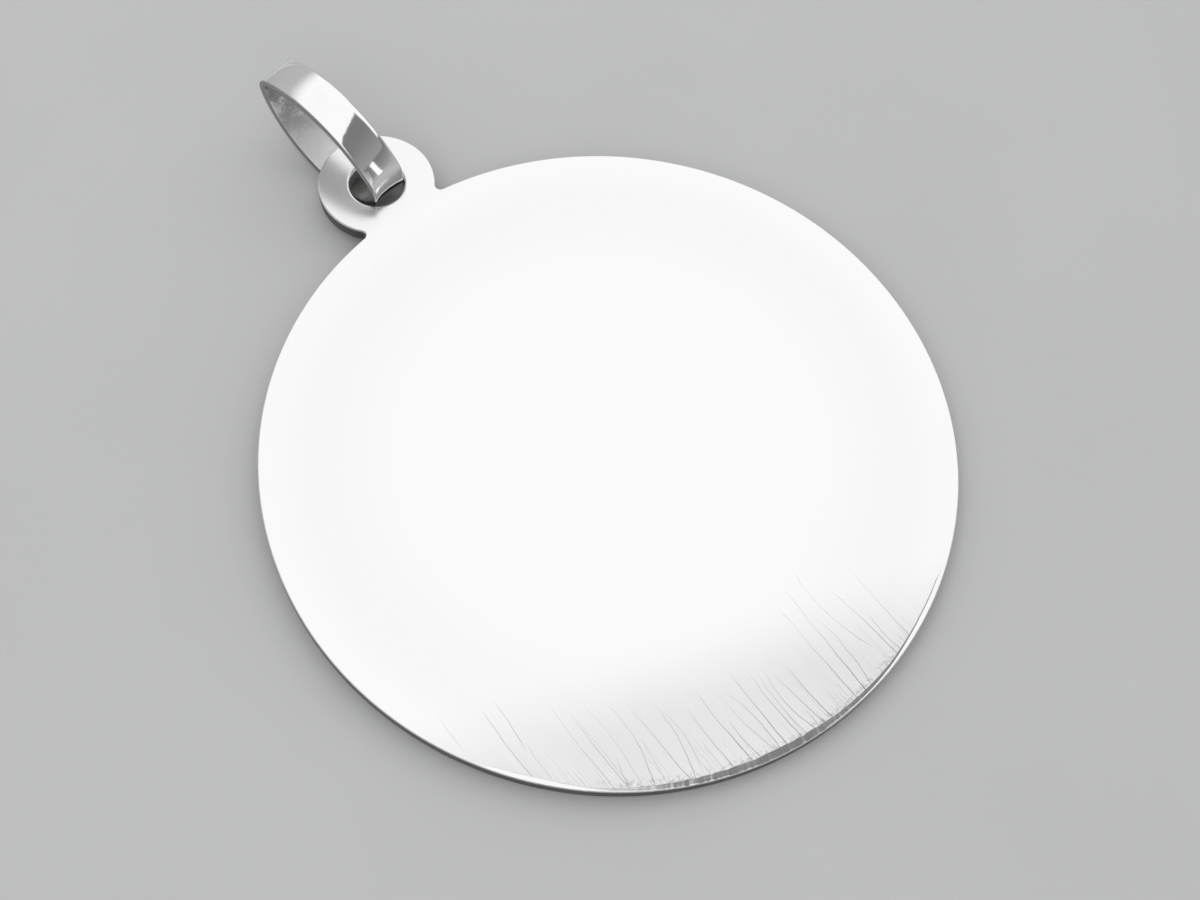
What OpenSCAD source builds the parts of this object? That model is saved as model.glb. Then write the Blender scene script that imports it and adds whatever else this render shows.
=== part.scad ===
// Disc pendant: a flat round plate with a drilled ear, and a loose loop bail of flat band
// that passes through the ear. It lies on a level surface as it rests by itself: the bail
// lies under the ear's ring and lifts it, and the far rim of the disc touches the surface.
// Units are millimetres. +Z is up, +Y runs from the disc to the ear, and the surface is z = 0.

/* [Disc] */
// Diameter of the round plate
disc_d = 36; // [30:0.5:44]
// Thickness of the plate and its ear
plate_t = 1.04; // [0.8:0.02:1.4]
// Radius of the soft edge round the disc and the ear
rim_r = 0.27; // [0.1:0.01:0.35]

/* [Ear] */
// Diameter of the ear
ear_d = 6.4; // [5.8:0.1:7.4]
// How far the middle of the ear lies outside the edge of the disc
ear_out = 2.3; // [1.8:0.1:2.8]
// Diameter of the drilled hole in the ear
hole_d = 3; // [2.8:0.1:3.6]
// Radius of the soft edge at both mouths of the hole
hole_edge_r = 0.15; // [0.08:0.01:0.3]
// Radius of the small inside corners where the ear meets the disc
corner_r = 0.3; // [0.2:0.05:0.6]

/* [Bail] */
// Width of the band
bail_w = 2.2; // [1.8:0.1:2.4]
// Thickness of the band
bail_t = 0.45; // [0.35:0.05:0.6]
// Radius of the soft edges of the band
bail_edge_r = 0.12; // [0.06:0.01:0.16]
// Outer radius of the loop's end that lies in the hole
near_end_r = 1.9; // [1.7:0.05:2.1]
// Outer radius of the loop's free end
far_end_r = 1.1; // [0.9:0.05:1.4]
// Distance between the centres of the two end arcs
end_spacing = 6.1; // [5.5:0.1:7]
// Outer radius of the long upper side of the loop
top_arc_r = 7.1; // [6.5:0.1:9]
// Outer radius of the long lower side of the loop
bottom_arc_r = 5.5; // [5.3:0.1:7]

/* [Resting place of the bail] */
// Angle at which the loop points up from the plate, in degrees
bail_pitch = 20.5; // [14:0.5:26]
// Angle at which the loop points aside from the line through disc and ear, in degrees
bail_yaw = 9.2; // [0:0.2:20]
// Gap between the band and the wall of the hole
hole_gap = 0.05; // [0.03:0.01:0.1]
// Gap between the band and the ring of the ear that lies on it
seat_gap = 0.06; // [0.04:0.01:0.1]

/* [Hidden] */
$fn = 120;

disc_r = disc_d / 2;
ear_r = ear_d / 2;
ear_y = disc_r + ear_out;
hole_r = hole_d / 2;
half_t = plate_t / 2;
steel = [0.86, 0.87, 0.88];
pale_steel = [0.8, 0.81, 0.82];

// small inside corner: a circle that bites by a hair into both the disc and the ear
corner_bite = 0.01;
corner_far = disc_r + corner_r - corner_bite;
corner_near = ear_r + corner_r - corner_bite;
corner_y = (corner_far * corner_far - corner_near * corner_near + ear_y * ear_y) / (2 * ear_y);
corner_x = sqrt(corner_far * corner_far - corner_y * corner_y);

// The loop is four arcs that run smoothly into each other. In its own plane its near end
// arc is centred on [0, 0] and its far end arc on [end_spacing, 0].
function side_along(r) = (pow(r - near_end_r, 2) - pow(r - far_end_r, 2) + end_spacing * end_spacing)
    / (2 * end_spacing);
function side_across(r) = sqrt(pow(r - near_end_r, 2) - pow(side_along(r), 2));
lap = 0.06;
hair = 0.004;
near_c = [0, 0];
far_c = [end_spacing, 0];
top_c = [side_along(top_arc_r), -side_across(top_arc_r)];
bottom_c = [side_along(bottom_arc_r), side_across(bottom_arc_r)];
function turned(p, a) = [p[0] * cos(a) - p[1] * sin(a), p[0] * sin(a) + p[1] * cos(a)];

// Place of the loop, seen from the side with the middle of the hole at [0, 0], first value
// outward and second value up from the middle of the plate. Its near end reaches hole_gap
// short of the hole's wall, and the ring of the ear lies on its lower side with seat_gap.
flat_half_w = bail_w / 2 - bail_edge_r;
near_x = near_end_r - sqrt(pow(hole_r - hole_gap, 2) - flat_half_w * flat_half_w);
bottom_turned = turned(bottom_c, bail_pitch);
bottom_x = near_x + bottom_turned[0];
bottom_inner_r = bottom_arc_r - bail_t;
ring_in_x = sqrt(pow(hole_r + hole_edge_r, 2) - flat_half_w * flat_half_w);
ring_out_x = ear_r - rim_r;
bottom_z_in = hole_edge_r - half_t
    + sqrt(pow(bottom_inner_r - hole_edge_r - seat_gap, 2) - pow(ring_in_x - bottom_x, 2));
bottom_z_out = rim_r - half_t
    + sqrt(pow(bottom_inner_r - rim_r - seat_gap, 2) - pow(ring_out_x - bottom_x, 2));
bottom_z = min(bottom_z_in, bottom_z_out);
near_z = bottom_z - bottom_turned[1];

// The whole lies on the far rim of the disc and on the lower side of the loop, so the plate
// is tilted a little, with the ear higher.
rest_y = ear_y + bottom_x * cos(bail_yaw);
reach_up = bottom_z + half_t - rim_r;
reach_along = rest_y + disc_r - rim_r;
tilt = atan2(reach_along, reach_up) - acos((bottom_arc_r - rim_r) / norm([reach_along, reach_up]));
lift = (disc_r - rim_r) * sin(tilt) + (half_t - rim_r) * cos(tilt) + rim_r;

// The origin is the middle of the space that the whole takes up, on the surface.
far_turned = turned(far_c, bail_pitch);
far_y = ear_y + (near_x + far_turned[0]) * cos(bail_yaw);
far_z = near_z + far_turned[1];
high_y = far_y * cos(tilt) - far_z * sin(tilt) + bail_edge_r
    + (far_end_r - bail_edge_r) * norm([cos(tilt) * cos(bail_yaw), sin(tilt)])
    + flat_half_w * cos(tilt) * abs(sin(bail_yaw));
low_y = -(disc_r - rim_r) * cos(tilt) - (half_t - rim_r) * sin(tilt) - rim_r;

module at_rest() {
    translate([0, -(low_y + high_y) / 2, lift]) rotate([tilt, 0, 0]) children();
}

// A round flat blank with a soft edge of radius e
module blank(r, e) {
    rotate_extrude() {
        translate([0, -half_t]) square([r - e, plate_t]);
        translate([0, e - half_t]) square([r, plate_t - 2 * e]);
        for (s = [-1, 1]) translate([r - e, s * (half_t - e)]) circle(r = e);
    }
}

// A round cutter of radius r that leaves a soft edge of radius e on both faces of the plate
module soft_cut(r, e) {
    rotate_extrude() difference() {
        translate([0, -plate_t]) square([r + e, 2 * plate_t]);
        translate([r, e - half_t]) square([2 * e, plate_t - 2 * e]);
        for (s = [-1, 1]) translate([r + e, s * (half_t - e)]) circle(r = e);
    }
}

module plate() {
    color(steel) at_rest() difference() {
        union() {
            blank(disc_r, rim_r);
            translate([0, ear_y, 0]) blank(ear_r, rim_r);
            difference() {
                translate([0, 0, -half_t]) linear_extrude(height = plate_t)
                    polygon([[0, 0], [corner_x, corner_y], [0, ear_y], [-corner_x, corner_y]]);
                for (s = [-1, 1]) translate([s * corner_x, corner_y, 0]) soft_cut(corner_r, rim_r);
            }
        }
        translate([0, ear_y, 0]) soft_cut(hole_r, hole_edge_r);
    }
}

// Cross-section of the band, centred, and slimmer all round by the length slim
module band_section(slim) {
    t = bail_t - 2 * slim;
    w = bail_w - 2 * slim;
    square([t, w - 2 * bail_edge_r], center = true);
    square([t - 2 * bail_edge_r, w], center = true);
    for (a = [-1, 1], b = [-1, 1])
        translate([a * (t / 2 - bail_edge_r), b * (w / 2 - bail_edge_r)]) circle(r = bail_edge_r);
}

// A stretch of the band that bends round c with outer radius r, from angle a0 to a1
module end_arc(c, r, a0, a1) {
    translate([c[0], c[1], 0]) rotate([0, 0, a0]) rotate_extrude(angle = a1 - a0)
        translate([r - bail_t / 2, 0]) band_section(0);
}

// The same for a long side. It runs lap into the end arc at each of its ends, and is slimmer
// by a hair, so that its ends lie wholly inside the end arcs
module side_arc(c, r, a0, a1) {
    more = lap / r * 180 / PI;
    translate([c[0], c[1], 0]) rotate([0, 0, a0 - more]) rotate_extrude(angle = a1 - a0 + 2 * more)
        translate([r - bail_t / 2, 0]) band_section(hair);
}

function heading(from, to) = atan2(to[1] - from[1], to[0] - from[0]);

module loop() {
    // directions in which the arcs meet, counted anticlockwise from the far end's lower joint
    low_far = heading(bottom_c, far_c);
    up_far = heading(top_c, far_c);
    up_near = heading(top_c, near_c);
    low_near = heading(bottom_c, near_c) + 360;
    end_arc(far_c, far_end_r, low_far, up_far);
    side_arc(top_c, top_arc_r, up_far, up_near);
    end_arc(near_c, near_end_r, up_near, low_near);
    side_arc(bottom_c, bottom_arc_r, low_near, low_far + 360);
}

module bail() {
    color(pale_steel) at_rest()
        translate([0, ear_y, 0]) rotate([0, 0, 90 + bail_yaw])
            translate([near_x, 0, near_z]) rotate([90, 0, 0]) rotate([0, 0, bail_pitch]) loop();
}

plate();
bail();
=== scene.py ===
import math
import bpy
import numpy as np
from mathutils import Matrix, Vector


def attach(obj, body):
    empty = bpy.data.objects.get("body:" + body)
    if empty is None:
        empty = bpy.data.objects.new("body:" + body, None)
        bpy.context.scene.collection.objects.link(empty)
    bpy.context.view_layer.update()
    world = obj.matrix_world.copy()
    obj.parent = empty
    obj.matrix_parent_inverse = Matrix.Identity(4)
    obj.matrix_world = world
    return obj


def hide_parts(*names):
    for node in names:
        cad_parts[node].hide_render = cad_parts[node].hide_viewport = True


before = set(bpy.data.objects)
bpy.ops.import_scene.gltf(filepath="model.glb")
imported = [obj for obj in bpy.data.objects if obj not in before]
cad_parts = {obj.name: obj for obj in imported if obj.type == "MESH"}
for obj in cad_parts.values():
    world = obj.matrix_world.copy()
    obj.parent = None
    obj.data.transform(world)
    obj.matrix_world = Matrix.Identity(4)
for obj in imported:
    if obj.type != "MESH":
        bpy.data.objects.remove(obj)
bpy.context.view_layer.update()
print("frame loaded")

# Lengths below are millimetres, as the plate is drawn flat with the middle of the disc at its
# origin. toRow puts points where the part lies, in metres.
lie = dict(tilt=math.radians(0.86575), shiftY=-4.97571, lift=0.78787)
metre = 1000  # millimetres


def toRow(p):
    # x, y cos t - z sin t + shift, y sin t + z cos t + lift
    c, s = math.cos(lie["tilt"]), math.sin(lie["tilt"])
    x, y, z = p[..., 0], p[..., 1], p[..., 2]
    return np.stack([x, y * c - z * s + lie["shiftY"], y * s + z * c + lie["lift"]], -1) / metre


def share(v, a, b):
    # how far v has come from a to b, held between 0 and 1
    return np.clip((v - a) / (b - a), 0, 1)


def gridQuads(rows, cols, start=0, closed=False, flip=False):
    # corner numbers of the faces of a grid of rows x cols points, the last column joined to
    # the first if closed
    i, j = np.meshgrid(np.arange(rows - 1), np.arange(cols if closed else cols - 1), indexing="ij")
    k = (j + 1) % cols
    q = np.stack([i * cols + j, i * cols + k, (i + 1) * cols + k, (i + 1) * cols + j], -1)
    q = q.reshape(-1, 4) + start
    return q[:, ::-1] if flip else q


def buildMesh(name, sheets, paint, weld=1e-5):
    # sheets: (points rows x cols x 3, closed, flip). Points nearer than weld become one, and
    # a face that loses a corner this way becomes a triangle. paint: name -> value of each point
    points, quads, start = [], [], 0
    for grid, closed, flip in sheets:
        rows, cols = grid.shape[:2]
        points.append(grid.reshape(-1, 3))
        quads.append(gridQuads(rows, cols, start, closed, flip))
        start += rows * cols
    points, quads = np.concatenate(points), np.concatenate(quads)
    cells = np.round(points / weld).astype(np.int64)
    _, first, back = np.unique(cells, axis=0, return_index=True, return_inverse=True)
    points, quads = points[first], back.reshape(-1)[quads]
    ordered = np.sort(quads, 1)
    repeats = (ordered[:, 1:] == ordered[:, :-1]).sum(1)
    whole = quads[repeats == 0]
    pinched = quads[repeats == 1]
    keep = pinched != np.roll(pinched, 1, 1)
    tris = pinched[keep].reshape(-1, 3)
    corners = np.concatenate([whole.ravel(), tris.ravel()]).astype(np.int32)
    sizes = np.concatenate([np.full(len(whole), 4), np.full(len(tris), 3)])
    mesh = bpy.data.meshes.new(name)
    mesh.vertices.add(len(points))
    mesh.vertices.foreach_set("co", toRow(points).astype(np.float32).ravel())
    mesh.loops.add(len(corners))
    mesh.loops.foreach_set("vertex_index", corners)
    mesh.polygons.add(len(sizes))
    mesh.polygons.foreach_set("loop_start", (np.cumsum(sizes) - sizes).astype(np.int32))
    mesh.polygons.foreach_set("use_smooth", np.ones(len(sizes), bool))
    mesh.update(calc_edges=True)
    for key, values in paint.items():
        layer = mesh.attributes.new(key, "FLOAT", "POINT")
        layer.data.foreach_set("value", values.reshape(-1)[first].astype(np.float32))
    mesh.validate()
    obj = bpy.data.objects.new(name, mesh)
    bpy.context.scene.collection.objects.link(obj)
    print(name, len(points), "points", len(sizes), "faces")
    return obj


# The lower edge is worn: a slanting groove with a ragged inner line, then a bright flat strip.
# Each row: angle clockwise from the ear, width of groove and strip together, width of the strip,
# the groove's slant in degrees and how much painted shade darkens its colour
rimWear = dict(
    rows=((149, 0, 0, 0, 0), (153, 0.26, 0.21, 5, 0.4), (160, 0.27, 0.22, 7, 0.4),
          (165, 0.24, 0.17, 8, 0.2), (170, 0.19, 0.09, 9, 0), (175, 0.19, 0.04, 10, 0),
          (180, 0.21, 0.02, 10, 0), (185, 0.27, 0, 12, 0.1), (190, 0.31, 0, 15, 0.3),
          (195, 0.31, 0, 17, 0.6), (200, 0.29, 0, 19, 1), (205, 0.27, 0, 20, 1.2),
          (210, 0.23, 0, 20, 1.2), (215, 0.18, 0, 19, 1.2), (220, 0.12, 0.01, 13, 1.2),
          (225, 0.15, 0.09, 3, 1.4), (230, 0.24, 0.18, 3, 1.5), (237, 0.19, 0.14, 3, 1.5),
          (243, 0, 0, 0, 0)),
    stripSlant=1.0,             # how far the strip slants, in degrees
    ragged=0.022, uneven=0.08,  # how far the width varies, and which share of the slant
    fineSpan=6, coarseSpan=81,  # points of the outline over which the random steps are smoothed
    coarseTotal=5,              # what the coarse bell's weights add up to, the fine one's to 1
    calmStrip=(0.17, 0.07),     # not ragged at the first width of the strip, fully at the second
    calmWide=(0.125, 0.25),     # the same for the whole width
    least=0.01, stripMost=0.9,  # nothing narrower is worn, and the strip's largest share of it
    seed=11)


def smoothSteps(steps, span, total=1):
    # random steps averaged with a bell of span weights that add up to total
    bell = np.hanning(span)
    return np.convolve(steps, bell * (total / bell.sum()), "same")


def wearAt(base, s):
    # width, strip, slant and the groove's painted shade at each point of the outline: the rows'
    # values between their angles, and width and slant with smoothed random steps added
    degrees = np.degrees(np.arctan2(base[:, 0], base[:, 1])) % 360
    angles, *columns = np.array(s["rows"], float).T
    wide, strip, slant, dark = [np.interp(degrees, angles, c, left=0, right=0) for c in columns]
    fine, coarse = np.random.default_rng(s["seed"]).normal(size=(2, len(base)))
    fine = smoothSteps(fine, s["fineSpan"])
    coarse = smoothSteps(coarse, s["coarseSpan"], s["coarseTotal"])
    shaken = share(strip, *s["calmStrip"]) * share(wide, *s["calmWide"])
    wide = wide + s["ragged"] * (fine + coarse) * shaken
    wide = np.where(wide < s["least"], 0, wide)
    slant = np.radians(slant) * (1 + s["uneven"] * coarse[::-1])
    return wide, np.minimum(strip, wide * s["stripMost"]), slant, dark


plateSizes = dict(discR=18.0, thick=1.04, edgeR=0.06, lowEdgeR=0.22, earR=3.2, earY=20.3,
                  holeR=1.5, holeEdgeR=0.15, cornerR=0.3,
                  discSteps=1600, earSteps=110, cornerSteps=12, seamSteps=24,
                  bowSteps=8, holeSteps=9, holeWallSteps=4)
# the rows of points on the plate, as shares of the way across: over the groove, the strip, the
# disc's face from its middle and the ear's face from the hole
plateRows = dict(groove=(0, 0.08, 0.3, 0.6, 0.9), strip=(0, 0.15, 0.5, 0.9),
                 disc=(0, 0.2, 0.45, 0.7, 0.85, 0.94, 0.98, 0.994, 0.9985, 1),
                 ear=(0, 0.02, 0.1, 0.35, 0.65, 0.9, 0.985, 1))
# how much painted shade the groove's rows take after the first, the width from which the wear
# is fully painted, and how many rows of the round beside it are painted too
platePaint = dict(groove=(1, 0.7, 0.7, 0.7), fullWidth=0.15, bowRows=5)


def bend(cx, cy, r, a0, a1, n):
    # centre + r (sin a, cos a): angles in degrees run clockwise from +Y. Returns the points
    # and their outward directions
    a = np.linspace(math.radians(a0), math.radians(a1), n)
    d = np.stack([np.sin(a), np.cos(a)], -1)
    return np.array([cx, cy]) + r * d, d


def plateOutline(s):
    # the outline, anticlockwise, in rounds: ear, two halves of the left corner, disc, two
    # halves of the right corner. A corner's centre lies discR + cornerR from the disc's middle
    # and earR + cornerR from the ear's. Returns points, outward directions and each round's start
    y0, r = s["earY"], s["cornerR"]
    farD, nearD = s["discR"] + r, s["earR"] + r
    cy = (farD ** 2 - nearD ** 2 + y0 ** 2) / (2 * y0)
    cx = math.sqrt(farD ** 2 - cy ** 2)
    discA = math.degrees(math.atan2(cx, cy))
    earA = math.degrees(math.atan2(cx, cy - y0))
    toDisc, toEar = 180 - discA, 180 - earA
    midA = (toDisc + toEar) / 2
    few = s["cornerSteps"]
    rounds = ((bend(0, y0, s["earR"], earA, -earA, s["earSteps"]), 1),
              (bend(-cx, cy, r, toEar, midA, few), -1),
              (bend(-cx, cy, r, midA, toDisc, few), -1),
              (bend(0, 0, s["discR"], -discA, -360 + discA, s["discSteps"]), 1),
              (bend(cx, cy, r, -toDisc, -midA, few), -1),
              (bend(cx, cy, r, -midA, -toEar, few), -1))
    base = np.concatenate([points for (points, _), _ in rounds])
    out = np.concatenate([away * side for (_, away), side in rounds])
    starts = np.cumsum([0] + [len(points) for (points, _), _ in rounds])
    return base, out, starts


def rimProfile(s, wide, strip, slant):
    # rows from the flat's edge to the wall: a groove g wide that drops g tan(slant), a strip that
    # hardly slants, a round e (1 - sin t), e (1 - cos t) to upright, the wall and the lower round
    half, e, low = s["thick"] / 2, s["edgeR"], s["lowEdgeR"]
    wide, strip, slant = wide[None], strip[None], slant[None]
    tip = np.minimum(slant, math.radians(rimWear["stripSlant"]))
    inner = e * (1 - np.sin(tip))
    k = np.array(plateRows["groove"])[:, None]
    groove = inner + strip + (wide - strip) * (1 - k)
    grooveZ = half - (wide - strip) * np.tan(slant) * k
    k = np.array(plateRows["strip"])[:, None]
    flat = inner + strip * (1 - k)
    flatZ = half - (wide - strip) * np.tan(slant) - strip * np.tan(tip) * k
    t = tip + (math.pi / 2 - tip) * np.linspace(0, 1, s["bowSteps"])[:, None]
    bow = e * (1 - np.sin(t))
    bowZ = half - (wide - strip) * np.tan(slant) - strip * np.tan(tip) + e * (np.cos(t) - np.cos(tip))
    t = np.linspace(math.pi / 2, 0, s["bowSteps"])[:, None] + 0 * slant
    under, underZ = low * (1 - np.sin(t)), low * (1 - np.cos(t)) - half
    return np.concatenate([groove, flat, bow, under]), np.concatenate([grooveZ, flatZ, bowZ, underZ])


def faceSheets(s, edge, starts, z):
    # disc: k * edge, ear: (1 - k) * the hole's edge + k * the ear's edge, on rays from the
    # hole's middle. They meet in a straight seam across the neck, from the left corner's middle
    # to the right one's. Returns both sheets and the directions of the rays
    leftMid, rightMid = edge[starts[2]], edge[starts[5]]
    seam = leftMid + np.linspace(0, 1, s["seamSteps"])[:, None] * (rightMid - leftMid)
    discLoop = np.concatenate([edge[starts[2]:starts[5]], seam[::-1][:-1]])
    earLoop = np.concatenate([edge[starts[5]:], edge[:starts[2]], seam[:-1]])
    a = np.arctan2(earLoop[:, 0], earLoop[:, 1] - s["earY"])
    rays = np.stack([np.sin(a), np.cos(a)], -1)
    holeEdge = np.array([0, s["earY"]]) + (s["holeR"] + s["holeEdgeR"]) * rays
    k = np.array(plateRows["disc"])[:, None, None]
    disc = k * discLoop
    k = np.array(plateRows["ear"])[:, None, None]
    ear = (1 - k) * holeEdge + k * earLoop
    grids = [np.concatenate([face, np.full(face.shape[:2] + (1,), z)], -1) for face in (disc, ear)]
    return [(grid, True, z > 0) for grid in grids], rays


def holeProfile(s):
    # inset and height, round the top edge, down the wall and round the bottom edge:
    # e (1 - sin t), half - e (1 - cos t)
    half, e = s["thick"] / 2, s["holeEdgeR"]
    t = np.linspace(0, math.pi / 2, s["holeSteps"])
    inset, z = e * (1 - np.sin(t)), half - e * (1 - np.cos(t))
    mid = np.linspace(half - e, e - half, s["holeWallSteps"])[1:-1]
    return np.concatenate([inset, 0 * mid, inset[::-1]]), np.concatenate([z, mid, -z[::-1]])


def holeSheet(s, topRays, lowRays):
    # the hole's middle + (radius + inset) * ray. The rays turn from the top face's to the
    # bottom face's, which lie a hair apart
    inset, z = holeProfile(s)
    k = np.linspace(0, 1, len(z))[:, None, None]
    rays = (1 - k) * topRays + k * lowRays
    rays = rays / np.linalg.norm(rays, axis=-1, keepdims=True)
    wall = np.empty((len(z), rays.shape[1], 3))
    wall[..., :2] = np.array([0, s["earY"]]) + (s["holeR"] + inset)[:, None, None] * rays
    wall[..., 2] = z[:, None]
    return wall, True, False


def makePlate(s):
    # the rim is outline - inset * outward at the profile's heights. Faces and hole close it
    base, out, starts = plateOutline(s)
    wide, strip, slant, dark = wearAt(base, rimWear)
    inset, z = rimProfile(s, wide, strip, slant)
    rim = np.empty(inset.shape + (3,))
    rim[..., :2] = base - inset[..., None] * out
    rim[..., 2] = z
    top, topRays = faceSheets(s, rim[0, :, :2], starts, s["thick"] / 2)
    low, lowRays = faceSheets(s, rim[-1, :, :2], starts, -s["thick"] / 2)
    sheets = [(rim, True, True)] + top + low + [holeSheet(s, topRays, lowRays)]
    # painted: the groove's painted shade, darkest along its inner edge, and the groove with strip and round
    row = len(base)
    lipRows = len(platePaint["groove"])
    bandRows = lipRows + len(plateRows["strip"]) + platePaint["bowRows"]
    lip, band = np.zeros((2, sum(grid.shape[0] * grid.shape[1] for grid, _, _ in sheets)))
    lip[row:row * (1 + lipRows)] = np.outer(platePaint["groove"], dark).ravel()
    band[row:row * (1 + bandRows)] = np.tile(share(wide, 0, platePaint["fullWidth"]), bandRows)
    return buildMesh("disc_plate", sheets, {"lip": lip, "band": band})


bailSizes = dict(width=2.2, thick=0.45, edgeR=0.12, crown=0.08,
                 nearR=1.9, farR=1.1, spacing=6.1, topR=7.1, bottomR=5.5,
                 pitch=math.radians(20.5), yaw=math.radians(9.2), nearX=0.83131, nearZ=1.08408,
                 stepMm=0.07, leastSteps=12, edgeSteps=7, acrossSteps=7, flankSteps=4,
                 innerDepth=(0.3, 0.7),     # shares of the thickness: outer face, inner face
                 flankPlace=(0.93, 0.98))   # shares of the half width: faces, flanks


def loopPath(s):
    # four arcs that touch smoothly: near end, top, far end and bottom. A side arc's centre lies
    # (r - nearR) and (r - farR) from the two end centres. Returns the points of the outer line,
    # the outward directions, in the loop's own plane, and the height of the crown
    gap = s["spacing"]

    def sideCentre(r, up):
        along = ((r - s["nearR"]) ** 2 - (r - s["farR"]) ** 2 + gap * gap) / (2 * gap)
        return np.array([along, up * math.sqrt((r - s["nearR"]) ** 2 - along ** 2)])

    def heading(a, b, turns=0):
        return math.atan2(b[1] - a[1], b[0] - a[0]) + turns * 2 * math.pi

    near, far = np.array([0.0, 0.0]), np.array([gap, 0.0])
    top, bottom = sideCentre(s["topR"], -1), sideCentre(s["bottomR"], 1)
    a0, a1, a2 = heading(bottom, far), heading(top, far), heading(top, near)
    a3, a4 = heading(bottom, near, 1), heading(bottom, far, 1)
    # centre, radius, first and last heading, and how much crown at both ends
    arcs = ((far, s["farR"], a0, a1, 0, 1), (top, s["topR"], a1, a2, 1, 1),
            (near, s["nearR"], a2, a3, 1, -3), (bottom, s["bottomR"], a3, a4, 0, 0))
    points, outs, crown = [], [], []
    for c, r, start, stop, k0, k1 in arcs:
        n = max(s["leastSteps"], int(r * (stop - start) / s["stepMm"]))
        a = np.linspace(start, stop, n, endpoint=False)
        d = np.stack([np.cos(a), np.sin(a)], -1)
        points.append(c + r * d)
        outs.append(d)
        k = np.clip(np.linspace(k0, k1, n, endpoint=False), 0, 1)
        crown.append(k * k * (3 - 2 * k))
    return np.concatenate(points), np.concatenate(outs), s["crown"] * np.concatenate(crown)


def bandSection(s):
    # closed outline of the band: depth below the outer face, and place across the width. Its
    # four edges are rounds e (1 - cos t), e (1 - sin t)
    t, w, e = s["thick"], s["width"] / 2, s["edgeR"]
    q = np.linspace(0, math.pi / 2, s["edgeSteps"])
    c, d = e * (1 - np.cos(q)), e * (1 - np.sin(q))
    across = np.linspace(-(w - e), w - e, s["acrossSteps"])
    down = np.linspace(e, t - e, s["flankSteps"])
    depth = np.concatenate([0 * across, c[1:], down[1:], t - d[1:],
                            0 * across[1:] + t, t - c[1:], down[::-1][1:], d[1:-1]])
    side = np.concatenate([across, w - d[1:], 0 * down[1:] + w, w - c[1:],
                           across[::-1][1:], -(w - d[1:]), 0 * down[1:] - w, -(w - c[1:-1])])
    return depth, side


def makeBail(s):
    # point = line - (depth + crown * (side / half width)^2) * outward, turned up by the pitch,
    # set in the hole, then turned aside by the yaw
    line, out, crown = loopPath(s)
    depth, side = bandSection(s)
    depth, side = depth[:, None], side[:, None]
    sink = depth + (side * 2 / s["width"]) ** 2 * crown[None]
    flat = line[None] - sink[..., None] * out[None]
    c, d = math.cos(s["pitch"]), math.sin(s["pitch"])
    x = flat[..., 0] * c - flat[..., 1] * d + s["nearX"]
    z = flat[..., 0] * d + flat[..., 1] * c + s["nearZ"]
    c, d = math.cos(s["yaw"]), math.sin(s["yaw"])
    grid = np.stack([side * c - x * d, plateSizes["earY"] + side * d + x * c, z], -1)
    inner = share(depth / s["thick"], *s["innerDepth"]) + 0 * sink
    flank = share(np.abs(side) * 2 / s["width"], *s["flankPlace"]) + 0 * sink
    # the first row and column come again at the end and close the band
    grid, inner, flank = [np.concatenate([v, v[:, :1]], 1) for v in (grid, inner, flank)]
    grid, inner, flank = [np.concatenate([v, v[:1]]) for v in (grid, inner, flank)]
    return buildMesh("bail_band", [(grid, False, False)], {"inner": inner, "flank": flank})


plate = makePlate(plateSizes)
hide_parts("plate")
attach(plate, "root")
bail = makeBail(bailSizes)
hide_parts("bail")
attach(bail, "root")
print("pieces made")


class Sock:
    # wraps an output socket, so that sums and products of values add Math nodes
    def __init__(self, book, out):
        self.book, self.out = book, out

    def maths(self, op, other=None, swap=False):
        pair = [self] if other is None else ([other, self] if swap else [self, other])
        return self.book.node("ShaderNodeMath", dict(operation=op), dict(enumerate(pair)))

    def __add__(self, o):
        return self.maths("ADD", o)

    def __sub__(self, o):
        return self.maths("SUBTRACT", o)

    def __rsub__(self, o):
        return self.maths("SUBTRACT", o, True)

    def __mul__(self, o):
        return self.maths("MULTIPLY", o)

    __radd__ = __add__
    __rmul__ = __mul__

    def abs(self):
        return self.maths("ABSOLUTE")

    def max(self, o):
        return self.maths("MAXIMUM", o)

    def min(self, o):
        return self.maths("MINIMUM", o)

    def floor(self):
        return self.maths("FLOOR")

    def root(self):
        return self.maths("SQRT")

    def ramp(self, a, b, lo=0.0, hi=1.0):
        # lo before a, hi past b, smooth between. With b below a it runs downwards
        return self.book.node("ShaderNodeMapRange", dict(interpolation_type="SMOOTHSTEP"),
                              {"Value": self, "From Min": a, "From Max": b, "To Min": lo, "To Max": hi})


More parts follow.
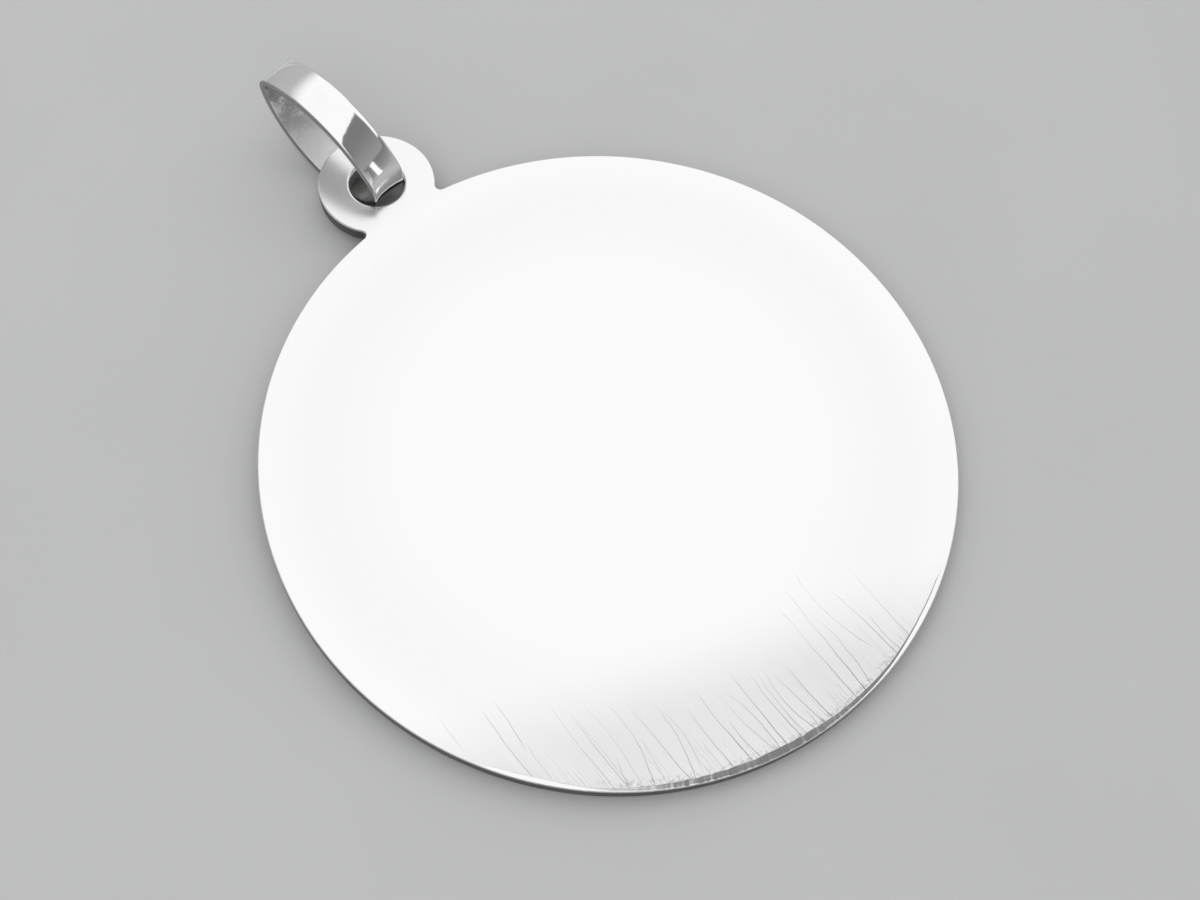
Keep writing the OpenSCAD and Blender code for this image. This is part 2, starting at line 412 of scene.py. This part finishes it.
class Book:
    # a material's node tree
    def __init__(self, name):
        self.mat = bpy.data.materials.new(name)
        self.mat.use_nodes = True
        self.tree = self.mat.node_tree
        self.tree.nodes.clear()

    def node(self, kind, settings, sockets, out=0):
        n = self.tree.nodes.new(kind)
        for k, v in settings.items():
            setattr(n, k, v)
        for k, v in sockets.items():
            if isinstance(v, Sock):
                self.tree.links.new(v.out, n.inputs[k])
            else:
                n.inputs[k].default_value = v
        return Sock(self, n.outputs[out]) if n.outputs else None

    def place(self, scale, offset=(0, 0, 0)):
        # the piece's own coordinates, times scale, plus offset
        at = self.node("ShaderNodeTexCoord", {}, {}, "Object")
        return self.node("ShaderNodeMapping", dict(vector_type="POINT"),
                         {"Vector": at, "Location": offset, "Scale": scale})

    def noise(self, at, scale, detail=2.0, rough=0.5):
        return self.node("ShaderNodeTexNoise", dict(noise_dimensions="3D"),
                         {"Vector": at, "Scale": scale, "Detail": detail, "Roughness": rough})

    def blend(self, a, b, f):
        # colour a where f is 0, colour b where it is 1
        return self.node("ShaderNodeMix", dict(data_type="RGBA"), {0: f, 6: a, 7: b}, 2)

    def axes(self, vector):
        n = self.node("ShaderNodeSeparateXYZ", {}, {0: vector}).out.node
        return [Sock(self, o) for o in n.outputs]

    def chance(self, seed):
        # three random numbers that depend on seed alone
        n = self.node("ShaderNodeTexWhiteNoise", dict(noise_dimensions="1D"), {"W": seed}, "Color")
        return self.axes(n)

    def painted(self, name):
        return self.node("ShaderNodeAttribute", dict(attribute_name=name), {}, "Fac")

    def bump(self, height, strength, distance):
        return self.node("ShaderNodeBump", {}, {"Height": height, "Strength": strength, "Distance": distance})

    def finish(self, sockets):
        shader = self.node("ShaderNodeBsdfPrincipled", {}, sockets)
        self.node("ShaderNodeOutputMaterial", {}, {"Surface": shader})
        return self.mat


inMm = (metre, metre, metre)  # the scale that makes a piece's coordinates millimetres

# the long marks near the lower rim: start x, y, x at the rim, bow to the side, strength, and
# the share of the way to the rim at which the mark has faded
marks = ((4.9, -12.7, 4.8, 0.0, 0.5, 1), (4.0, -14.9, 4.0, -0.1, 0.5, 1),
         (3.4, -13.0, 3.7, 0.05, 0.8, 1), (2.6, -10.9, 3.4, -0.5, 0.75, 0.8),
         (1.9, -13.6, 1.6, 0.15, 0.65, 1), (1.6, -11.6, 1.2, 0.0, 1, 1),
         (0.7, -12.0, 0.6, 0.0, 0.85, 1), (-0.3, -16.4, -0.4, 0.0, 0.35, 1),
         (-1.0, -14.3, -1.0, -0.1, 0.95, 1), (-1.1, -13.8, -1.2, -0.05, 0.25, 0.9),
         (-1.8, -14.2, -1.5, -0.05, 0.65, 1), (-1.8, -16.5, -1.8, 0.0, 0.5, 1),
         (-2.0, -13.8, -2.0, -0.3, 0.75, 1), (-2.4, -13.9, -2.5, -0.15, 0.6, 1),
         (-2.7, -13.5, -2.8, -0.1, 0.85, 1), (-3.4, -13.0, -3.6, -0.05, 1, 1),
         (-4.2, -13.4, -4.0, 0.15, 0.7, 1), (-4.5, -13.9, -4.2, -0.15, 0.5, 1),
         (-5.0, -14.6, -5.0, -0.1, 0.65, 1), (-5.3, -12.5, -5.4, -0.1, 0.9, 1),
         (-6.2, -13.0, -6.3, -0.1, 0.6, 1), (-6.7, -14.5, -6.8, 0.0, 0.4, 1),
         (-7.2, -12.2, -7.7, 0.25, 0.5, 0.9), (-7.3, -12.1, -8.1, 0.2, 0.7, 1),
         (-8.3, -11.0, -8.3, 0.0, 0.65, 1), (-8.9, -12.7, -9.3, 0.05, 0.35, 1),
         (-9.1, -10.4, -9.8, 0.35, 0.65, 1), (-10.0, -9.8, -10.3, 0.2, 0.35, 1),
         (-10.4, -12.7, -10.8, 0.0, 0.5, 1), (-10.7, -9.6, -10.8, -0.1, 0.55, 1),
         (-11.2, -8.6, -11.4, -0.1, 0.4, 0.55), (-11.4, -11.0, -11.4, 0.0, 0.45, 1),
         (-13.2, -6.9, -13.7, 0.1, 0.75, 0.6), (-13.2, -9.4, -13.4, 0.0, 0.3, 1),
         (-13.9, -6.9, -14.0, -0.05, 0.55, 1), (-15.6, -5.9, -15.7, -0.05, 0.3, 0.8))
# the fine marks between them: spacing, width, longest, strength, seed
hairs = ((0.47, 0.020, 3.6, 0.4, 3.0), (0.31, 0.018, 2.8, 0.4, 57.0), (0.15, 0.017, 1.3, 0.55, 131.0))
# Pairs of lengths are the two ends of a soft step
plateLook = dict(
    # the worn colour greys the worn side: partly wear, partly painted shade
    color=(0.93, 0.932, 0.93, 1), wornShadeColor=(0.78, 0.78, 0.782, 1),
    # the mark colour darkens the scratches and nicks and gives the groove its painted shade
    markAndShadeColor=(0.2, 0.2, 0.2, 1), wallShadeColor=(0.15, 0.148, 0.144, 1),
    # the wall colour above is painted shade on the walls
    roughness=0.12, broadRough=0.05, wornRough=0.16, markRough=0.25, wallRough=0.22,
    grooveRough=0.14, earRough=0.08,
    front=(-0.2, 0.2),                   # heights between back and front
    sway=0.26, swayScale=0.55,           # how far the marks wander, and how often
    markWidth=(0.019, 0.032),            # at the far end and at the rim
    markWidens=(4.5, 0.3),               # distances from the rim with these widths
    markEndR=17.73, markStart=(0.2, -0.6), markFade=0.5,
    hairLeast=0.2, hairFade=0.35, hairCell=(0.7, 0.15),  # share of a cell it may stand in, margin
    hairY=(-9, -13), hairX=(6.5, 4.0),
    nickScale=5.0, nickSize=(0.48, 0.6), nickRim=(0.75, 0.35), nickY=(-12, -14.5), nickX=(5.5, 3),
    nickShade=0.35,
    wornSide=(-0.342, -0.94), wornFrom=(10.3, 15.6),      # which way and how far from the middle
    wornShadeBroad=0.4, wornShadeFine=0.3, wornShadeEven=0.6,
    ring=(7.5, 3.6), ringRim=(0.6, 2.6), ringShade=0.16,  # a ring of painted shade, from the rim
    wallTop=(0.40, 0.30), wallLow=(-0.515, -0.5), wallRim=(0.3, -0.1), wallEar=(17.0, 17.3),
    ear=(16.8, 18.2), fineScale=(1800, 160, 400), broadScale=0.16,
    streakScale=(12, 0.5), streak=(0.35, 0.65), streakShade=(0.3, 0.15),
    fineHeight=0.2, nickDepth=0.5, bump=0.3, bumpDepth=0.00001)


def longMarks(s, along, y, fromRim):
    # each mark is where x = a + b y + c y y, a parabola from its start to the rim; its bow is
    # a quarter of c times the length squared
    start, end = s["markWidth"]
    wide = fromRim.ramp(*s["markWidens"], start, end)
    mark = None
    for x0, y0, x1, bow, deep, reach in marks:
        y1 = -math.sqrt(s["markEndR"] ** 2 - x1 ** 2)
        c = -4 * bow / (y1 - y0) ** 2
        b = (x1 - x0) / (y1 - y0) - c * (y0 + y1)
        a = x0 - b * y0 - c * y0 * y0
        away = (along - (y * c + b) * y - a).abs()
        first, full = s["markStart"]
        line = (away - wide).ramp(-end, 0, deep, 0) * y.ramp(y0 + first, y0 + full)
        if reach < 1:
            stop = y0 + (y1 - y0) * reach
            line = line * y.ramp(stop - s["markFade"], stop + s["markFade"])
        mark = line if mark is None else mark.max(line)
    return mark


def hairLines(b, s, along, x, y, fromRim):
    # one line in each cell of the spacing across, at a random place, of random length and strength
    spread, margin = s["hairCell"]
    hair = None
    for step, width, longest, deep, seed in hairs:
        place = along * (1 / step)
        cell = place.floor()
        where, length, much = b.chance(cell + seed)
        away = (place - cell - where * spread - margin).abs() * step
        reach = length * length * longest + s["hairLeast"]
        line = away.ramp(0, width, deep, 0) * (fromRim - reach).ramp(-s["hairFade"], 0, 1, 0) * much
        line = line * y.ramp(*s["hairY"]) * x.ramp(*s["hairX"])
        hair = line if hair is None else hair.max(line)
    return hair


def plateMaterial(s):
    # polished steel: x, y, z are millimetres in the flat plate, as it is drawn above
    b = Book("polished_plate")
    x, y, z = b.axes(b.place(inMm, (0, -lie["shiftY"], -lie["lift"])))
    at = b.place(inMm)
    z = z - y * math.sin(lie["tilt"])
    fromRim = plateSizes["discR"] - (x * x + y * y).root()
    along = x + (b.noise(at, s["swayScale"], 3.0, 0.5) - 0.5) * s["sway"]
    front = z.ramp(*s["front"])
    mark = longMarks(s, along, y, fromRim) * front
    sideX, sideY = s["wornSide"]
    wornShaded = (x * sideX + y * sideY).ramp(*s["wornFrom"])
    band = b.painted("band")
    hair = hairLines(b, s, along, x, y, fromRim)
    nicks = b.noise(at, s["nickScale"], 3.0, 0.7).ramp(*s["nickSize"]) * fromRim.ramp(*s["nickRim"])
    nicks = nicks * y.ramp(*s["nickY"]) * x.ramp(*s["nickX"]) * front
    # the groove's painted shade is laid where lip is painted
    lip = b.painted("lip")
    # the wall, not the rounded edges: on the disc by the distance from the rim, on the ear by y. It gets
    # painted shade, the dark of a shaded floor that it would mirror
    wall = z.ramp(*s["wallTop"])
    rimStart, rimFull = s["wallRim"]
    onDisc = wall * (fromRim - rimStart).ramp(0.0, rimFull)
    wall = onDisc.max(wall * y.ramp(*s["wallEar"])) * z.ramp(*s["wallLow"])
    fine = b.noise(b.place(s["fineScale"]), 1.0, 3.0, 0.6)
    broad = b.noise(at, s["broadScale"], 3.0)
    inside = 1 - band
    # a ring of painted shade near the rim
    ring = fromRim.ramp(*s["ring"]) * fromRim.ramp(*s["ringRim"]) * s["ringShade"]
    uneven = broad * s["wornShadeBroad"] + fine * s["wornShadeFine"] + s["wornShadeEven"]
    # greyer on the worn side, partly from wear and partly painted shade, and in the ring of painted shade
    greyed = (wornShaded * inside * uneven + ring).min(1)
    color = b.blend(s["color"], s["wornShadeColor"], greyed)
    scratch = hair.max(mark) * inside
    # streaks along the groove: noise that is drawn out along the rim, which varies the groove's painted shade
    across, drawn = s["streakScale"]
    polar = b.node("ShaderNodeCombineXYZ", {}, {0: fromRim * across, 1: x * drawn, 2: y * drawn})
    streak = b.noise(polar, 1.0, 2.0, 0.6).ramp(*s["streak"])
    streakMost, streakLeast = s["streakShade"]
    # scratches and nicks are marks in the metal; the groove's darkening is painted shade
    marksAndShade = scratch + nicks * s["nickShade"] * inside + lip * (streak * streakMost + streakLeast)
    color = b.blend(color, s["markAndShadeColor"], marksAndShade.min(1))
    # painted shade on the walls of the disc, ear and hole
    color = b.blend(color, s["wallShadeColor"], wall)
    ear = y.ramp(*s["ear"])
    rough = wornShaded * fine * inside * s["wornRough"] + broad * s["broadRough"] + mark * inside * s["markRough"]
    rough = rough + wall * s["wallRough"] + lip * s["grooveRough"] + ear * s["earRough"] + s["roughness"]
    height = (fine * wornShaded * s["fineHeight"] - hair - nicks * s["nickDepth"]) * inside
    normal = b.bump(height, s["bump"], s["bumpDepth"])
    return b.finish({"Base Color": color, "Metallic": 1.0, "Roughness": rough, "Normal": normal})


bailLook = dict(
    color=(0.93, 0.93, 0.925, 1), dullColor=(0.72, 0.72, 0.715, 1), stainColor=(0.3, 0.3, 0.3, 1),
    # the flank colour is painted shade, the dark the flanks would mirror
    flankShadeColor=(0.34, 0.34, 0.34, 1),
    roughness=0.06, innerRough=0.46, hazeRough=0.1, farRough=0.16, nearRough=0.2, flankRough=0.15,
    fineRough=0.02,
    farEnd=(19.8, 22.3), nearEnd=(18.0, 16.5),  # y, in millimetres, where the part lies
    broadScale=0.8, fineScale=7.0, haze=(0.42, 0.7), hazeShade=0.12, farHaze=0.3,
    stain=(0.4, 0.56), stainShade=(0.8, 0.03),  # at the far end, and elsewhere
    broadPart=0.7, finePart=0.3, bump=0.1, bumpDepth=0.00004)


def bailMaterial(s):
    # a mirror outside, with its flanks darkened by painted shade; inside duller, hazy and stained towards the
    # far end
    b = Book("mirror_band")
    at = b.place(inMm)
    inner, flank = b.painted("inner"), b.painted("flank")
    broad = b.noise(at, s["broadScale"], 4.0, 0.6)
    fine = b.noise(at, s["fineScale"], 3.0, 0.65)
    haze = broad.ramp(*s["haze"])
    y = b.axes(at)[1]
    farEnd, nearEnd = y.ramp(*s["farEnd"]), y.ramp(*s["nearEnd"])
    greyed = (haze * s["hazeShade"] + inner * haze * farEnd * s["farHaze"]).min(1)
    color = b.blend(s["color"], s["dullColor"], greyed)
    stainMost, stainLeast = s["stainShade"]
    spots = (broad * s["broadPart"] + fine * s["finePart"]).ramp(*s["stain"])
    stain = inner * spots * (farEnd * stainMost + stainLeast)
    color = b.blend(color, s["stainColor"], stain)
    # painted shade on the flanks
    color = b.blend(color, s["flankShadeColor"], flank)
    ends = haze * s["hazeRough"] - farEnd * s["farRough"] - nearEnd * s["nearRough"]
    rough = inner * (ends + s["innerRough"]) + fine * s["fineRough"] + flank * s["flankRough"]
    rough = rough + s["roughness"]
    height = broad * s["broadPart"] + fine * inner * s["finePart"]
    normal = b.bump(height, s["bump"], s["bumpDepth"])
    return b.finish({"Base Color": color, "Metallic": 1.0, "Roughness": rough, "Normal": normal})


plate.data.materials.append(plateMaterial(plateLook))
bail.data.materials.append(bailMaterial(bailLook))
print("materials made")

floorLook = dict(side=1.0, color=(0.57, 0.573, 0.577, 1), speck=(0.53, 0.533, 0.537, 1),
                 cloudScale=(60, 60, 60), roughness=0.8)


def makeFloor(s):
    # a flat square, side metres wide, under the part
    half = s["side"] / 2
    mesh = bpy.data.meshes.new("floor")
    corners = [(-half, -half, 0), (half, -half, 0), (half, half, 0), (-half, half, 0)]
    mesh.from_pydata(corners, [], [(0, 1, 2, 3)])
    floor = bpy.data.objects.new("floor", mesh)
    bpy.context.scene.collection.objects.link(floor)
    b = Book("pale_floor")
    color = b.blend(s["color"], s["speck"], b.noise(b.place(s["cloudScale"]), 1.0, 4.0))
    mesh.materials.append(b.finish({"Base Color": color, "Roughness": s["roughness"]}))


# Soft boxes round the part: the middle of the box and its size in metres, how bright it looks,
# its turn in degrees if it faces straight down instead of towards the part, and how it fades
# across its height (share of the way, level). "room" lights the floor alone and isn't seen in
# the metal
softBoxes = {
    "overhead": dict(at=(-0.0519, 0.3553, 0.30), size=(1.26, 0.90), turn=33, bright=0.83,
                     fade=((0.0, 1.0), (0.27, 1.0), (0.40, 0.36), (1.0, 0.28))),
    "side": dict(at=(0.385, -0.040, 0.30), size=(0.21, 0.265), turn=37.7, bright=0.85),
    "ceiling": dict(at=(0.33, -0.50, 0.60), size=(0.9, 0.62), turn=20, bright=0.12,
                    fade=((0.0, 1.0), (1.0, 0.0))),
    "back": dict(at=(-0.40, 0.70, 0.160), size=(1.3, 0.27), bright=0.36,
                 fade=((0.0, 1.0), (0.5, 1.0), (1.0, 0.65))),
    "left": dict(at=(-0.50, -0.05, 0.20), size=(0.6, 0.24), bright=0.3),
    "right": dict(at=(0.62, 0.06, 0.21), size=(0.8, 0.30), bright=0.55,
                  fade=((0.0, 1.0), (0.5, 0.9), (1.0, 0.2))),
    "front": dict(at=(0.34, -0.44, 0.165), size=(0.5, 0.26), bright=0.30,
                  fade=((0.0, 1.0), (0.35, 0.8), (1.0, 0.1))),
    "near": dict(at=(-0.14, -0.54, 0.20), size=(0.70, 0.35), bright=0.6,
                 fade=((0.0, 1.0), (0.4, 0.85), (1.0, 0.25))),
    "corner": dict(at=(0.53, 0.68, 0.16), size=(0.95, 0.27), bright=0.36,
                   fade=((0.0, 1.0), (0.5, 1.0), (1.0, 0.65))),
    "room": dict(at=(0.0, 0.0, 1.4), size=(4.0, 4.0), turn=0, bright=0.3, mirrored=False),
    "window": dict(at=(0.274, -0.475, 0.244), size=(0.05, 0.20), bright=0.9)}


def makeSoftBox(name, s):
    # a box that looks bright has the power pi * bright * its area
    data = bpy.data.lights.new(name, "AREA")
    data.shape, data.size, data.size_y = "RECTANGLE", s["size"][0], s["size"][1]
    data.energy = math.pi * s["bright"] * s["size"][0] * s["size"][1]
    lamp = bpy.data.objects.new(name, data)
    lamp.location = s["at"]
    if "turn" in s:
        lamp.rotation_euler = (0, 0, math.radians(s["turn"]))
    else:
        lamp.rotation_euler = (-Vector(s["at"])).to_track_quat("-Z", "Y").to_euler()
    bpy.context.scene.collection.objects.link(lamp)
    lamp.visible_glossy = s.get("mirrored", True)
    if "fade" in s:
        data.use_nodes = True
        tree = data.node_tree
        shine = tree.nodes["Emission"]
        spot = tree.nodes.new("ShaderNodeNewGeometry")
        parts = tree.nodes.new("ShaderNodeSeparateXYZ")
        ramp = tree.nodes.new("ShaderNodeValToRGB")
        ramp.color_ramp.interpolation = "EASE"
        stops = ramp.color_ramp.elements
        while len(stops) < len(s["fade"]):
            stops.new(0.5)
        for stop, (place, level) in zip(stops, s["fade"]):
            stop.position, stop.color = place, (level, level, level, 1)
        tree.links.new(spot.outputs["Parametric"], parts.inputs[0])
        tree.links.new(parts.outputs[1], ramp.inputs[0])
        tree.links.new(ramp.outputs[0], shine.inputs["Color"])


makeFloor(floorLook)
for name, s in softBoxes.items():
    makeSoftBox(name, s)
# how bright the room is above and at the horizon, and between which heights that changes
roomLook = dict(dark=0.2, wall=0.5, wallTop=(0.03, 0.10), color=(0.995, 0.998, 1.0, 1))


def makeRoom(s):
    # the world: an even pale grey, lighter near the horizon, by the height of the direction
    world = bpy.data.worlds.new("room")
    world.use_nodes = True
    tree = world.node_tree
    spot = tree.nodes.new("ShaderNodeTexCoord")
    parts = tree.nodes.new("ShaderNodeSeparateXYZ")
    level = tree.nodes.new("ShaderNodeMapRange")
    level.interpolation_type = "SMOOTHSTEP"
    level.inputs["From Min"].default_value, level.inputs["From Max"].default_value = s["wallTop"]
    level.inputs["To Min"].default_value, level.inputs["To Max"].default_value = s["wall"], s["dark"]
    tree.links.new(spot.outputs["Generated"], parts.inputs[0])
    tree.links.new(parts.outputs[2], level.inputs["Value"])
    tree.links.new(level.outputs[0], tree.nodes["Background"].inputs[1])
    tree.nodes["Background"].inputs[0].default_value = s["color"]
    return world


bpy.context.scene.world = makeRoom(roomLook)

# a 48 mm lens on a 36 mm wide sensor, about 85 mm from the disc
cameraSet = dict(place=(-0.0269005, -0.0301465, 0.0748725), turn=(26.16462, -3.05261, -39.79753),
                 lens=48.0, sensor=36.0, clip=(0.005, 5.0))
cameraData = bpy.data.cameras.new("camera")
cameraData.lens, cameraData.sensor_width = cameraSet["lens"], cameraSet["sensor"]
cameraData.clip_start, cameraData.clip_end = cameraSet["clip"]
camera = bpy.data.objects.new("camera", cameraData)
camera.location = cameraSet["place"]
camera.rotation_euler = [math.radians(v) for v in cameraSet["turn"]]
bpy.context.scene.collection.objects.link(camera)
bpy.context.scene.camera = camera
bpy.context.scene.view_settings.view_transform = "Standard"
print("camera and lights set")
